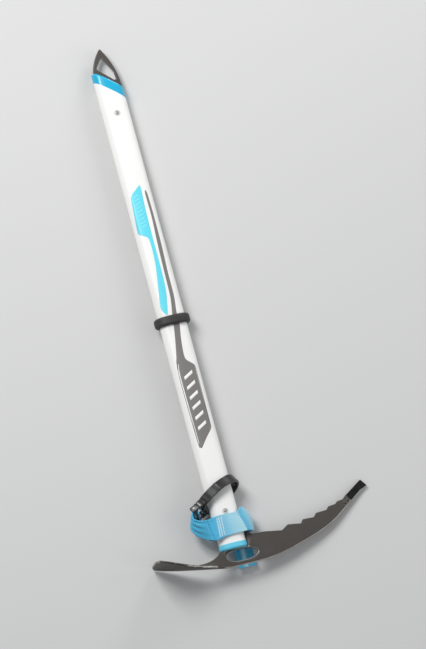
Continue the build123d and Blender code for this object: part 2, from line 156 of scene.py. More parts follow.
class Finish:
    """A node material in the making. Sockets and numbers both go in as inputs."""

    def __init__(self, name, roughness=0.5, metallic=0.0, **fixed):
        self.material = bpy.data.materials.new(name)
        self.material.use_nodes = True
        self.tree = self.material.node_tree
        self.shader = self.tree.nodes["Principled BSDF"]
        self.set(self.shader, "Roughness", roughness)
        self.set(self.shader, "Metallic", metallic)
        for socket, value in fixed.items():
            self.set(self.shader, socket.replace("_", " "), value)
        self.place = self.node("ShaderNodeTexCoord").outputs["Object"]

    def set(self, node, socket, value):
        """Link a socket into the node's input, or set the input to a number or a colour."""
        target = node.inputs[socket]
        if isinstance(value, bpy.types.NodeSocket):
            self.tree.links.new(value, target)
        elif isinstance(value, tuple) and target.type == "RGBA":
            target.default_value = (*value[:3], 1.0)
        else:
            target.default_value = value

    def node(self, kind, inputs=None, **settings):
        """Add a node with its inputs and settings."""
        made = self.tree.nodes.new(kind)
        for name, value in settings.items():
            setattr(made, name, value)
        for socket, value in (inputs or {}).items():
            self.set(made, socket, value)
        return made

    def math(self, operation, a, b=0.0, c=0.0):
        return self.node("ShaderNodeMath", {0: a, 1: b, 2: c}, operation=operation).outputs[0]

    def stretched(self, scale, turn=(0.0, 0.0, 0.0), place=None):
        """Texture coordinates that are scaled differently along each axis, and turned."""
        inputs = {"Vector": place or self.place, "Scale": scale, "Rotation": turn}
        return self.node("ShaderNodeMapping", inputs).outputs[0]

    def noise(self, scale, detail=2.0, roughness=0.5, place=None):
        """Noise from 0 to 1."""
        inputs = {
            "Vector": place or self.place,
            "Scale": scale,
            "Detail": detail,
            "Roughness": roughness,
        }
        return self.node("ShaderNodeTexNoise", inputs).outputs[0]

    def between(self, value, low, high):
        """0 below low, 1 above high, smooth in between."""
        made = self.node(
            "ShaderNodeMapRange",
            {"Value": value, "From Min": low, "From Max": high},
            interpolation_type="SMOOTHSTEP",
        )
        return made.outputs[0]

    def remap(self, value, low, high, new_low, new_high):
        """The value taken from one range to another, without leaving the second."""
        inputs = {
            "Value": value,
            "From Min": low,
            "From Max": high,
            "To Min": new_low,
            "To Max": new_high,
        }
        return self.node("ShaderNodeMapRange", inputs).outputs[0]

    def mix(self, share, a, b):
        """Colour a where the share is 0, colour b where it is 1."""
        made = self.node("ShaderNodeMix", data_type="RGBA")
        self.set(made, 0, share)
        self.set(made, 6, a)
        self.set(made, 7, b)
        return made.outputs[2]

    def bump(self, height, distance_mm, strength=1.0, after=None):
        """A normal bumped by the height, on top of an earlier bump if one is given."""
        inputs = {"Height": height, "Distance": distance_mm * MM, "Strength": strength}
        if after is not None:
            inputs["Normal"] = after
        return self.node("ShaderNodeBump", inputs).outputs[0]

    def level(self):
        """1 where the surface lies square to Z, 0 where it stands upright."""
        normal = self.node("ShaderNodeNewGeometry").outputs["Normal"]
        height = self.node("ShaderNodeSeparateXYZ", {0: normal}).outputs["Z"]
        return self.math("ABSOLUTE", height)

    def where(self):
        """The place on the object in millimetres, as three separate values."""
        parts = self.node("ShaderNodeSeparateXYZ", {0: self.place}).outputs
        return [self.math("DIVIDE", part, MM) for part in parts]

    def both(self, *masks):
        """The product of several masks."""
        result = masks[0]
        for mask in masks[1:]:
            result = self.math("MULTIPLY", result, mask)
        return result

    def either(self, *masks):
        """The largest of several masks."""
        result = masks[0]
        for mask in masks[1:]:
            result = self.math("MAXIMUM", result, mask)
        return result

    def facing(self, direction, low, high):
        """1 where the surface faces that way: its cosine is above high."""
        normal = self.node("ShaderNodeNewGeometry").outputs["Normal"]
        made = self.node("ShaderNodeVectorMath", {0: normal}, operation="DOT_PRODUCT")
        made.inputs[1].default_value = direction
        return self.between(made.outputs["Value"], low, high)

    def off_broad_faces(self):
        """0 on the broad faces of a plate that lies flat, 1 elsewhere."""
        return self.math("SUBTRACT", 1.0, self.between(self.level(), *BROAD_FACE))

    def chamfers(self):
        """1 between the broad faces and the upright sides of a plate that lies flat."""
        return self.both(self.between(self.level(), *UPRIGHT_SIDE), self.off_broad_faces())

    def within(self, value, limits):
        """1 where the value, taken either side of zero, is inside the limits."""
        return self.between(self.math("ABSOLUTE", value), *limits)

    def done(self, colour, roughness=None, bump=None, metallic=None):
        """Connect the shader and give back the material."""
        self.set(self.shader, "Base Color", colour)
        if roughness is not None:
            self.set(self.shader, "Roughness", roughness)
        if metallic is not None:
            self.set(self.shader, "Metallic", metallic)
        if bump is not None:
            self.set(self.shader, "Normal", bump)
        return self.material


def shade(colour, factor):
    """The colour made darker or lighter by a factor."""
    return tuple(channel * factor for channel in colour[:3])


def lacquer(name, colour, roughness=0.30, coat=0.35):
    """Sprayed lacquer or print: slight orange peel, faint grime and fine lengthwise scuffs."""
    f = Finish(name, Coat_Weight=coat, Coat_Roughness=0.12, Specular_IOR_Level=0.5)
    clouds = f.noise(28.0, 3.0)
    grime = f.between(f.noise(9.0, 6.0, 0.6), 0.48, 0.80)
    scuffs = f.noise(1.0, 3.0, 0.6, f.stretched((900.0, 28.0, 900.0), (0.0, 0.0, 0.07)))
    scuffs = f.between(scuffs, 0.66, 0.74)
    tint = f.mix(clouds, shade(colour, 0.965), colour)
    tint = f.mix(f.math("MULTIPLY", grime, 0.30), tint, shade(colour, 0.86))
    tint = f.mix(f.math("MULTIPLY", scuffs, 0.25), tint, shade(colour, 0.80))
    rough = f.math("MULTIPLY_ADD", scuffs, 0.16, roughness)
    peel = f.bump(f.noise(620.0, 2.0), 0.016, 0.5)
    return f.done(tint, rough, f.bump(scuffs, -0.012, 0.5, peel))


def head_wear_and_highlight(f):
    """Where the alloy is lighter: the spine, the eye's rim and the adze's side, partly worn bare
    and partly painted highlight; where the adze is sharpened and on the spike's chamfers, worn
    bare.
    """
    x, y, z = f.where()
    at_eye = f.both(f.within(x, EYE_EDGE_X), f.within(y, EYE_EDGE_Y))
    spine = f.both(
        f.facing((0.25, -0.97, 0.0), 0.20, 0.34),
        f.off_broad_faces(),
        f.math("SUBTRACT", 1.0, at_eye),
        f.between(x, *SPINE_START_X),
    )
    rim = f.both(at_eye, f.chamfers())
    side = f.both(
        f.within(z, BESIDE_THE_PLATE_Z),
        f.between(f.level(), 0.30, 0.45),
        f.remap(x, *ADZE_SIDE_X, 0.22, 1.0),
    )
    cutting = f.both(f.between(x, *CUTTING_EDGE_X), f.facing((-1.0, 0.0, 0.0), 0.45, 0.7))
    spike = f.both(f.between(y, *SPIKE_START_Y), f.chamfers())
    return f.either(
        spine, f.math("MULTIPLY", rim, 0.8), side, cutting, f.math("MULTIPLY", spike, 0.22)
    )


def anodised(name):
    """Grey-brown anodised alloy: matt and finely grained, scratched, lighter along its edges,
    partly worn bare and partly painted highlight.
    """
    base = COLOURS["alloy"]
    f = Finish(name, metallic=0.45, Specular_IOR_Level=0.5)
    clouds = f.noise(55.0, 5.0, 0.65)
    grain = f.noise(3200.0, 2.0)
    tint = f.mix(clouds, shade(base, 0.82), shade(base, 1.16))
    tint = f.mix(f.math("MULTIPLY", grain, 0.25), tint, shade(base, 1.3))
    streaks = f.noise(1.0, 4.0, 0.6, f.stretched((70.0, 1500.0, 1500.0), (0.0, 0.0, 0.5)))
    scratches = f.between(streaks, 0.69, 0.73)
    tint = f.mix(f.math("MULTIPLY", scratches, 0.35), tint, COLOURS["scratch"])
    edge_variation = f.remap(f.noise(90.0, 4.0, 0.6), 0.35, 0.60, 0.62, 1.0)
    # Lighter alloy along the spine, the eye's rim and the adze: partly worn bare, partly painted
    # highlight
    wear_and_highlight = f.math("MULTIPLY", head_wear_and_highlight(f), edge_variation)
    tint = f.mix(wear_and_highlight, tint, COLOURS["bare_alloy_and_highlight"])
    rough = f.remap(grain, 0.3, 0.7, 0.44, 0.56)
    rough = f.math("SUBTRACT", rough, f.math("MULTIPLY", wear_and_highlight, 0.14))
    metal = f.math("MULTIPLY_ADD", wear_and_highlight, 0.35, 0.45)
    bump = f.bump(grain, 0.012, 0.4)
    return f.done(tint, rough, f.bump(scratches, -0.015, 0.5, bump), metal)


def blackened_steel(name):
    """Black tempered steel, lighter along the side that carries on from the spine: partly worn
    bare, partly painted highlight.
    """
    base = COLOURS["tip"]
    f = Finish(name, metallic=0.7, Specular_IOR_Level=0.5)
    clouds = f.noise(160.0, 4.0, 0.6)
    tint = f.mix(clouds, shade(base, 0.7), shade(base, 2.0))
    edge_variation = f.remap(f.noise(120.0, 3.0, 0.6), 0.35, 0.60, 0.6, 1.0)
    # Lighter steel on the side facing the spine's way: partly worn bare, partly painted highlight
    wear_and_highlight = f.both(f.facing((0.5, -0.866, 0.0), 0.22, 0.36), f.off_broad_faces(), edge_variation)
    tint = f.mix(wear_and_highlight, tint, COLOURS["bare_steel_and_highlight"])
    rough = f.math("SUBTRACT", f.remap(clouds, 0.3, 0.7, 0.36, 0.5), f.math("MULTIPLY", wear_and_highlight, 0.1))
    grain = f.bump(f.noise(1800.0, 2.0), 0.015, 0.5)
    return f.done(tint, rough, grain)


def plain_metal(name, colour, roughness=0.32):
    """Bare turned metal, for pins and rivets."""
    f = Finish(name, metallic=1.0)
    turned = f.noise(1.0, 2.0, 0.5, f.stretched((3000.0, 3000.0, 300.0)))
    tint = f.mix(turned, shade(colour, 0.70), colour)
    return f.done(tint, f.remap(turned, 0.3, 0.7, roughness, roughness + 0.16),
                  f.bump(turned, 0.01, 0.4))


def moulded(name, colour, roughness=0.35, texture_mm=0.02, coat=0.0, specks=0.0, scale=1500.0):
    """Moulded plastic or rubber: fine mould texture, faint flow marks and light dust."""
    f = Finish(name, Coat_Weight=coat, Coat_Roughness=0.15, Specular_IOR_Level=0.5)
    texture = f.noise(scale, 3.0, 0.6)
    flow = f.noise(1.0, 3.0, 0.5, f.stretched((60.0, 160.0, 60.0)))
    tint = f.mix(flow, shade(colour, 0.84), shade(colour, 1.12))
    dust = f.between(f.noise(210.0, 5.0, 0.7), 0.56, 0.80)
    pale = tuple(channel * 0.6 + 0.25 for channel in colour)
    tint = f.mix(f.math("MULTIPLY", dust, specks), tint, pale)
    rough = f.remap(texture, 0.3, 0.7, roughness - 0.05, roughness + 0.08)
    rough = f.math("ADD", rough, f.math("MULTIPLY", dust, 0.12))
    return f.done(tint, rough, f.bump(texture, texture_mm, 0.6))


def woven(name, colour):
    """Nylon tape, with painted shade in the weave's hollows and painted highlight on its raised
    picks.

    The mesh's ribbon attribute gives millimetres along and across it, and its share of painted
    highlight.
    """
    f = Finish(name, roughness=0.62, Sheen_Weight=0.35, Sheen_Roughness=0.45,
               Specular_IOR_Level=0.35)
    where = f.node("ShaderNodeAttribute", attribute_name="ribbon").outputs["Vector"]
    split = f.node("ShaderNodeSeparateXYZ", {0: where})
    # The third value is how much painted highlight the tape carries
    along, across, painted_highlight = (split.outputs[axis] for axis in "XYZ")
    yarn = f.math("DIVIDE", across, 0.85)
    row = f.math("FLOOR", yarn)
    inside = f.math("FRACT", yarn)
    rib = f.math("SINE", f.math("MULTIPLY", inside, math.pi))
    shift = f.math("MULTIPLY", row, 0.30)
    wave = f.math("ADD", f.math("DIVIDE", along, 2.3), shift)
    wave = f.math("SINE", f.math("MULTIPLY", wave, 2 * math.pi))
    pick = f.math("MULTIPLY_ADD", wave, 0.5, 0.5)
    height = f.math("MULTIPLY", rib, f.math("MULTIPLY_ADD", pick, 0.65, 0.35))
    fibre = f.noise(1.0, 3.0, 0.6, f.stretched((0.5, 6.0, 1.0), place=where))
    fade = f.noise(55.0, 3.0, 0.6)
    # Painted shade in the weave's hollows, lighter on its raised yarns
    tint = f.mix(height, shade(colour, 0.55), shade(colour, 1.15))
    pale = COLOURS["pale_yarn_and_highlight"]
    # Painted highlight on the raised picks of the weave
    tint = f.mix(f.math("MULTIPLY", f.between(pick, 0.72, 1.0), 0.30), tint, pale)
    tint = f.mix(f.math("MULTIPLY", f.between(fibre, 0.50, 0.75), 0.25), tint, pale)
    tint = f.mix(f.math("MULTIPLY", f.between(fade, 0.35, 0.75), 0.25), tint, shade(colour, 0.72))
    # The painted highlight's colour: the pale yarn colour, with painted shade in the weave's
    # hollows
    pale_yarn_and_highlight = f.mix(height, shade(pale, 0.70), pale)
    tint = f.mix(f.math("MULTIPLY", painted_highlight, f.remap(fibre, 0.3, 0.7, 0.75, 1.0)), tint, pale_yarn_and_highlight)
    return f.done(tint, f.remap(fibre, 0.3, 0.7, 0.55, 0.75),
                  f.bump(fibre, 0.03, 0.5, f.bump(height, 0.20, 0.85)))


def spun(name, colour):
    """Sewing thread: fine twist along each stitch."""
    f = Finish(name, roughness=0.55, Sheen_Weight=0.2, Sheen_Roughness=0.4)
    twist = f.noise(1.0, 2.0, 0.5, f.stretched((2600.0, 1200.0, 2600.0), (0.0, 0.0, 0.8)))
    tint = f.mix(twist, shade(colour, 0.7), shade(colour, 1.1))
    return f.done(tint, f.remap(twist, 0.3, 0.7, 0.5, 0.65), f.bump(twist, 0.04, 0.6))


def backdrop(name, colour):
    """The plain pale floor."""
    f = Finish(name, roughness=0.75, Specular_IOR_Level=0.25)
    tint = f.mix(f.noise(3.0, 2.0), shade(colour, 0.99), colour)
    return f.done(tint)


materials = {
    "white_lacquer": lacquer("white_lacquer", COLOURS["white"]),
    "cyan_print": lacquer("cyan_print", COLOURS["cyan"], 0.34, 0.2),
    "grey_print": lacquer("grey_print", COLOURS["grey"], 0.36, 0.2),
    "white_print": lacquer("white_print", COLOURS["white"], 0.34, 0.2),
    "pale_print": lacquer("pale_print", COLOURS["pale_cyan"], 0.34, 0.2),
    "head_alloy": anodised("head_alloy"),
    "tip_steel": blackened_steel("tip_steel"),
    "pin_steel": plain_metal("pin_steel", COLOURS["steel"]),
    "rivet_alloy": plain_metal("rivet_alloy", shade(COLOURS["steel"], 0.9), 0.36),
    "collar_plastic": moulded("collar_plastic", COLOURS["collar"], 0.38, 0.02, 0.15, 0.05),
    "plug_plastic": moulded("plug_plastic", COLOURS["plug"], 0.26, 0.012, 0.3, 0.04),
    "stopper_rubber": moulded("stopper_rubber", COLOURS["rubber"], 0.55, 0.05, 0.0, 0.12, 1100.0),
    "slider_plastic": moulded("slider_plastic", COLOURS["black"], 0.22, 0.010, 0.5, 0.05),
    "dark_pin": plain_metal("dark_pin", shade(COLOURS["steel"], 0.12), 0.45),
    "rivet_cap": lacquer("rivet_cap", shade(COLOURS["white"], 0.72), 0.34, 0.2),
    "webbing": woven("webbing", COLOURS["webbing"]),
    "thread": spun("thread", COLOURS["thread"]),
}


# ---------------------------------------------------------------- mesh helpers


def add_object(name, verts, faces, material, body):
    """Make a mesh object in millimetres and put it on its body."""
    mesh = bpy.data.meshes.new(name)
    mesh.from_pydata([tuple(float(v) * MM for v in p) for p in verts], [], faces)
    mesh.validate()
    made = bmesh.new()
    made.from_mesh(mesh)
    bmesh.ops.recalc_face_normals(made, faces=made.faces)
    made.to_mesh(mesh)
    made.free()
    mesh.polygons.foreach_set("use_smooth", [True] * len(mesh.polygons))
    mesh.materials.append(materials[material])
    piece = bpy.data.objects.new(name, mesh)
    scene.collection.objects.link(piece)
    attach(piece, body)
    return piece


class Shape:
    """Vertices and faces gathered from several closed parts, in millimetres."""

    def __init__(self):
        self.verts = []
        self.faces = []
        self.where = []

    def add(self, verts, faces, where=None):
        """Add one closed part, with the ribbon attribute of its vertices if it has one."""
        start = len(self.verts)
        self.verts += [np.asarray(v, float) for v in verts]
        self.faces += [tuple(start + i for i in face) for face in faces]
        self.where += list(where) if where is not None else [(0.0, 0.0, 0.0)] * len(verts)


def ring_faces(rows, columns, closed_rows=False):
    """Quads of a grid whose rows are closed rings, with the two ends capped or joined."""
    faces = []
    for i in range(rows if closed_rows else rows - 1):
        a, b = i * columns, ((i + 1) % rows) * columns
        for j in range(columns):
            k = (j + 1) % columns
            faces.append((a + j, a + k, b + k, b + j))
    if not closed_rows:
        faces.append(tuple(reversed(range(columns))))
        faces.append(tuple(range((rows - 1) * columns, rows * columns)))
    return faces


def lathe(shape, profile, centre, axis, count):
    """Turn a profile of (radius, height) points round an axis and close its ends."""
    axis = np.asarray(axis, float) / np.linalg.norm(axis)
    side = np.cross(axis, (1.0, 0.0, 0.0) if abs(axis[0]) < 0.9 else (0.0, 1.0, 0.0))
    side /= np.linalg.norm(side)
    other = np.cross(axis, side)
    verts = []
    for radius, height in profile:
        for k in range(count):
            t = 2 * math.pi * k / count
            out = radius * (math.cos(t) * side + math.sin(t) * other)
            verts.append(np.asarray(centre) + height * axis + out)
    shape.add(verts, ring_faces(len(profile), count))


def oval_path(half_width, half_depth, radius, count):
    """Points and outward normals evenly spaced round the oval, from its right end."""
    reach = half_width - radius
    face_radius = (reach**2 + half_depth**2 - radius**2) / (2 * (half_depth - radius))
    drop = face_radius - half_depth
    tight = math.atan2(drop, reach)
    arcs = [
        ((reach, 0), radius, -tight, tight),
        ((0, -drop), face_radius, tight, math.pi - tight),
        ((-reach, 0), radius, math.pi - tight, math.pi + tight),
        ((0, drop), face_radius, math.pi + tight, 2 * math.pi - tight),
    ]
    lengths = [r * (end - start) for _, r, start, end in arcs]
    points = []
    for k in range(count):
        s = (k / count * sum(lengths) + lengths[0] / 2) % sum(lengths)
        for (centre, r, start, _), length in zip(arcs, lengths):
            if s < length:
                t = start + s / r
                normal = (math.cos(t), math.sin(t))
                points.append(((centre[0] + r * normal[0], centre[1] + r * normal[1]), normal))
                break
            s -= length
    return points


def shaft_surface(x):
    """Height and outward normal of the shaft's front face at x."""
    reach = HALF_WIDTH - EDGE_RADIUS
    face_radius = (reach**2 + HALF_DEPTH**2 - EDGE_RADIUS**2) / (2 * (HALF_DEPTH - EDGE_RADIUS))
    drop = face_radius - HALF_DEPTH
    offset = x - SHAFT_X
    if abs(offset) < reach * face_radius / (face_radius - EDGE_RADIUS):
        z = math.sqrt(face_radius**2 - offset**2) - drop
        return z, (offset / face_radius, 0.0, (z + drop) / face_radius)
    past = abs(offset) - reach
    z = math.sqrt(max(EDGE_RADIUS**2 - past**2, 0.0))
    return z, (math.copysign(past, offset) / EDGE_RADIUS, 0.0, z / EDGE_RADIUS)


def smooth_curve(points, steps):
    """A Catmull-Rom curve through the points, with that many steps between two points."""
    p = np.asarray(points, float)
    p = np.vstack([2 * p[0] - p[1], p, 2 * p[-1] - p[-2]])
    out = []
    for i in range(1, len(p) - 2):
        for t in np.linspace(0, 1, steps, endpoint=False):
            a = 2 * p[i]
            b = p[i + 1] - p[i - 1]
            c = 2 * p[i - 1] - 5 * p[i] + 4 * p[i + 1] - p[i + 2]
            d = -p[i - 1] + 3 * p[i] - 3 * p[i + 1] + p[i + 2]
            out.append(0.5 * (a + b * t + c * t**2 + d * t**3))
    out.append(p[-2])
    return np.array(out)


# ---------------------------------------------------------------- carried-over CAD nodes

# The pins of the pick's tip are blackened with it
for entry in frame["record"]["subparts"]:
    node = nodes[entry["node"]]
    node.data.materials.clear()
    is_tip_pin = entry["node"] == "pick_tip_pins"
    node.data.materials.append(materials["dark_pin" if is_tip_pin else entry["material_slot"]])


def soften(name, width_mm=0.0):
    """Weld a CAD node's faces, round its sharp edges if a width is given, smooth its shading."""
    node = nodes[name]
    weld = node.modifiers.new("weld", "WELD")
    weld.merge_threshold = 0.001 * MM
    if width_mm > 0:
        bevel = node.modifiers.new("bevel", "BEVEL")
        bevel.width = width_mm * MM
        bevel.segments = 2
        bevel.limit_method = "ANGLE"
        bevel.angle_limit = math.radians(28.0)
    weighted = node.modifiers.new("weighted", "WEIGHTED_NORMAL")
    weighted.keep_sharp = False
    weighted.weight = 50


# The head already has its chamfers
soften("head")
soften("spike", 0.35)
soften("pick_tip", 0.2)


# ---------------------------------------------------------------- prints on the shaft


def film_row(places, lift):
    """One closed row of a film: its outside over the shaft, then its inside back again."""
    outer, inner = [], []
    for x, y in places:
        z, normal = shaft_surface(x)
        point = np.array((x, y, z))
        outer.append(point + lift * np.array(normal))
        inner.append(point - FILM_DEPTH * np.array(normal))
    return outer + inner[::-1]


def add_film(name, rows, material, side):
    """Make a film of its rows. On the back it is turned half round the shaft."""
    verts = [point for row in rows for point in row]
    if side == BACK:
        verts = [np.array((2 * SHAFT_X - v[0], v[1], -v[2])) for v in verts]
    faces = ring_faces(len(rows), len(rows[0]))
    add_object(name, verts, faces, material, "axe")


def film(name, left, right, material, lift, side):
    """A printed panel on the shaft between two outlines of (y, x) points."""
    left_curve, right_curve = smooth_curve(left, 8), smooth_curve(right, 8)
    low = max(left_curve[:, 0].min(), right_curve[:, 0].min())
    high = min(left_curve[:, 0].max(), right_curve[:, 0].max())
    order_l, order_r = np.argsort(left_curve[:, 0]), np.argsort(right_curve[:, 0])
    rows = []
    for y in np.linspace(low, high, max(6, int((high - low) / 1.2))):
        x0 = np.interp(y, left_curve[order_l, 0], left_curve[order_l, 1])
        x1 = np.interp(y, right_curve[order_r, 0], right_curve[order_r, 1])
        x1 = max(x1, x0 + 0.05)
        rows.append(film_row([(x, y) for x in np.linspace(x0, x1, 14)], lift))
    add_film(name, rows, material, side)


# Rows of plain bars: kind, count, first place, spacing, length and slant along the shaft, the
# two sides across it, and material
BARS = [
    ("mark", 6, 143.0, 11.6, 3.8, 6.0, (-12.8, -2.2), "white_print"),
    ("fleck", 9, 377.0, 4.4, 1.5, 2.5, (-14.6, -8.4), "pale_print"),
]


def printed_panels(side, label):
    """The panels of one face. The back face carries the same print, turned round the shaft."""
    film(
        f"cyan_panel_{label}",
        [(276.5, -13.0), (281.5, -16.6), (288, -17.6), (302, -15.6), (320, -12.8), (338, -10.6),
         (358, -10.0), (366, -11.4), (370, -17.2), (374, -20.0), (392, -19.2), (409, -18.0),
         (416, -16.6), (421, -11.0), (425.5, -5.2)],
        [(276.5, -12.6), (279, -11.6), (290, -9.4), (302, -7.2), (322, -6.0), (345, -5.8),
         (372, -5.8), (400, -5.2), (420, -4.1), (425.5, -4.4)],
        "cyan_print", LOW_FILM, side,
    )
    film(
        f"grey_panel_{label}",
        [(123.6, -14.6), (124.6, -16.0), (128, -17.0), (165, -17.8), (205, -17.9), (222, -16.8),
         (228, -15.3), (246, -11.8), (265, -8.7), (278, -6.9), (296, -4.2), (323, -3.4),
         (356, -2.4), (388, -0.8), (414, -1.0), (419, 0.0)],
        [(123.6, -14.2), (124.4, -13.2), (127, -11.4), (135, -5.0), (142.5, 1.4), (147, 2.4),
         (170, 2.6), (205, 3.0), (211, 3.0), (216, 2.2), (220, -2.0), (224, -5.8), (232, -6.4),
         (248, -4.7), (265, -1.9), (278, -1.8), (296, 0.3), (323, 0.6), (356, 1.9), (388, 2.2),
         (414, 1.6), (419, 0.4)],
        "grey_print", LOW_FILM, side,
    )
    film(
        f"pinstripe_{label}",
        [(129, -16.3), (165, -16.7), (200, -17.0), (212, -16.7), (220, -15.6)],
        [(129, -15.7), (165, -16.1), (200, -16.4), (212, -16.1), (220, -15.0)],
        "white_print", TOP_FILM, side,
    )
    for kind, count, first, spacing, length, slant, across, material in BARS:
        for index in range(count):
            start = first + spacing * index
            bar = (start, start + length)
            slanted_bar(f"{kind}_{label}_{index}", bar, across, slant, material, side)


def slanted_bar(name, along, across, slant, material, side):
    """A plain bar printed over the panel, from left to right, rising by the slant."""
    (start, end), (left, right) = along, across
    rows = []
    for share in np.linspace(0, 1, 4):
        low = start + (end - start) * share
        places = [
            (x, low + slant * (x - left) / (right - left)) for x in np.linspace(left, right, 12)
        ]
        rows.append(film_row(places, TOP_FILM))
    add_film(name, rows, material, side)


printed_panels(FRONT, "front")
printed_panels(BACK, "back")


# ---------------------------------------------------------------- rivets

# Half a rivet: its shank, its lacquered flange, a groove round its core, and the core, as
# (radius, height); then the reach of the bare core, and of the groove's outer wall, which takes
# the darker bare metal as painted shade in the groove
RIVET_PROFILE = [
    (2.5, 9.6), (3.35, 9.7), (3.4, 9.95), (3.3, 10.25), (2.9, 10.5), (2.3, 10.55),
    (2.05, 10.35), (1.95, 10.1), (1.6, 10.1), (1.5, 10.35), (0.9, 10.5), (0.05, 10.52),
]
BARE_CORE = 1.56
GROOVE_WALL_SHADE = (1.95, 2.32)

for name in ("head_rivet", "spike_rivet"):
    low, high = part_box(name)
    middle = np.array((low + high) / 2) / MM
    rivet = Shape()
    rear = [(radius, -height) for radius, height in reversed(RIVET_PROFILE)]
    lathe(rivet, rear + RIVET_PROFILE, middle, (0, 0, 1), 48)
    piece = add_object(f"{name}_turned", rivet.verts, rivet.faces, "rivet_cap", "axe")
    piece.data.materials.append(materials["rivet_alloy"])
    for face in piece.data.polygons:
        reach = (face.center.xy / MM - Vector(middle[:2])).length
        # The bare core, and the groove's outer wall in the darker metal as painted shade
        face.material_index = int(reach < BARE_CORE or GROOVE_WALL_SHADE[0] < reach < GROOVE_WALL_SHADE[1])
    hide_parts(name)


# ---------------------------------------------------------------- slider ring and pin

LONG = np.array((math.cos(RING_TURN), math.sin(RING_TURN), 0.0))
SHORT = np.array(Matrix.Rotation(-RING_LEAN, 3, Vector(LONG)) @ Vector((0, 0, 1)))
ALONG_SHAFT = np.cross(LONG, SHORT)


def ring_point(u, v, w):
    """A point in the slider ring's own directions: its length, its depth, its band."""
    return RING_CENTRE + u * LONG + v * SHORT + w * ALONG_SHAFT


def ring_band(shape):
    """The band: grooved outside, smooth inside, with one raised rib across its front."""
    path = oval_path(RING_HALF_LENGTH, RING_HALF_DEPTH, RING_EDGE_RADIUS, 300)
    half = RING_HALF_BAND
    verts = []
    for (x, z), (nx, nz) in path:
        on_front = 1.0 if z > 0 else 0.6
        rib = math.exp(-(((x - RIB_PLACE) / 1.15) ** 4)) if z > 0 else 0.0
        smooth_end = 1 / (1 + math.exp((x - SMOOTH_END) * 1.6))
        depth = GROOVE_DEPTH * on_front * (1 - smooth_end) * (1 - rib)
        top = RING_WALL + RIB_HEIGHT * rib + 0.25 * smooth_end
        profile = [(0.5, -half), (0.15, -half + 0.15), (0.0, -half + 0.5)]
        profile += [(0.0, half - 0.5), (0.15, half - 0.15), (0.5, half)]
        profile += [(top - 1.0, half), (top - 0.35, half - 0.25), (top - 0.05, half - 0.8)]
        for groove in RING_GROOVES:
            profile += [(top, groove + 0.48), (top - depth, groove + 0.22)]
            profile += [(top - depth, groove - 0.22), (top, groove - 0.48)]
        profile += [(top - 0.05, -half + 0.8), (top - 0.35, -half + 0.25), (top - 1.0, -half)]
        verts += [ring_point(x + nx * out, z + nz * out, w) for out, w in profile]
    shape.add(verts, ring_faces(len(path), len(profile), closed_rows=True))


def rounded_block(shape, centre, size, bevel, segments=3, taper=1.0):
    """A block with rounded edges in the ring's directions. The taper narrows its far end."""
    made = bmesh.new()
    bmesh.ops.create_cube(made, size=1.0)
    for vert in made.verts:
        narrow = taper if vert.co.x < 0 else 1.0
        vert.co = Vector((vert.co.x * size[0], vert.co.y * size[1], vert.co.z * size[2] * narrow))
    bmesh.ops.bevel(made, geom=made.edges[:], offset=bevel, segments=segments, profile=0.5,
                    affect="EDGES")
    made.verts.ensure_lookup_table()
    verts = [ring_point(*(np.array(v.co) + np.array(centre))) for v in made.verts]
    faces = [tuple(v.index for v in face.verts) for face in made.faces]
    shape.add(verts, faces)
    made.free()


slider = Shape()
ring_band(slider)
# Each ear: its arm, two raised bars across it, and the thicker block where it joins the band
for side in (1, -1):
    middle = side * EAR_PLACE
    rounded_block(slider, (-26.0, middle, 0.0), (24.0, 3.0, 8.4), 1.2, 4, 0.84)
    rounded_block(slider, (-36.3, middle + side * 1.5, 0.0), (1.7, 0.9, 6.6), 0.4)
    rounded_block(slider, (-30.4, middle + side * 1.5, 0.0), (1.7, 0.9, 7.6), 0.4)
    rounded_block(slider, (-24.6, middle + side * 1.1, 0.0), (7.6, 2.6, 8.2), 1.0, 4)
piece = add_object("slider_ring_moulded", slider.verts, slider.faces, "slider_plastic",
                   "slider")
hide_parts("slider_ring")

# The pin's middle, and half its profile as (radius, height): a domed head on a plain shank
PIN_CENTRE = ring_point(PIN_PLACE, 0.0, 0.0)
PIN_PROFILE = [(0.05, 14.5), (0.9, 14.4), (1.6, 14.1), (2.0, 13.7), (2.05, 13.45), (1.6, 13.4)]

pin = Shape()
far_end = [(radius, -height) for radius, height in reversed(PIN_PROFILE)]
lathe(pin, PIN_PROFILE + far_end, PIN_CENTRE, SHORT, 36)
piece = add_object("slider_pin_turned", pin.verts, pin.faces, "pin_steel", "slider")
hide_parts("slider_pin")


# ---------------------------------------------------------------- leash webbing


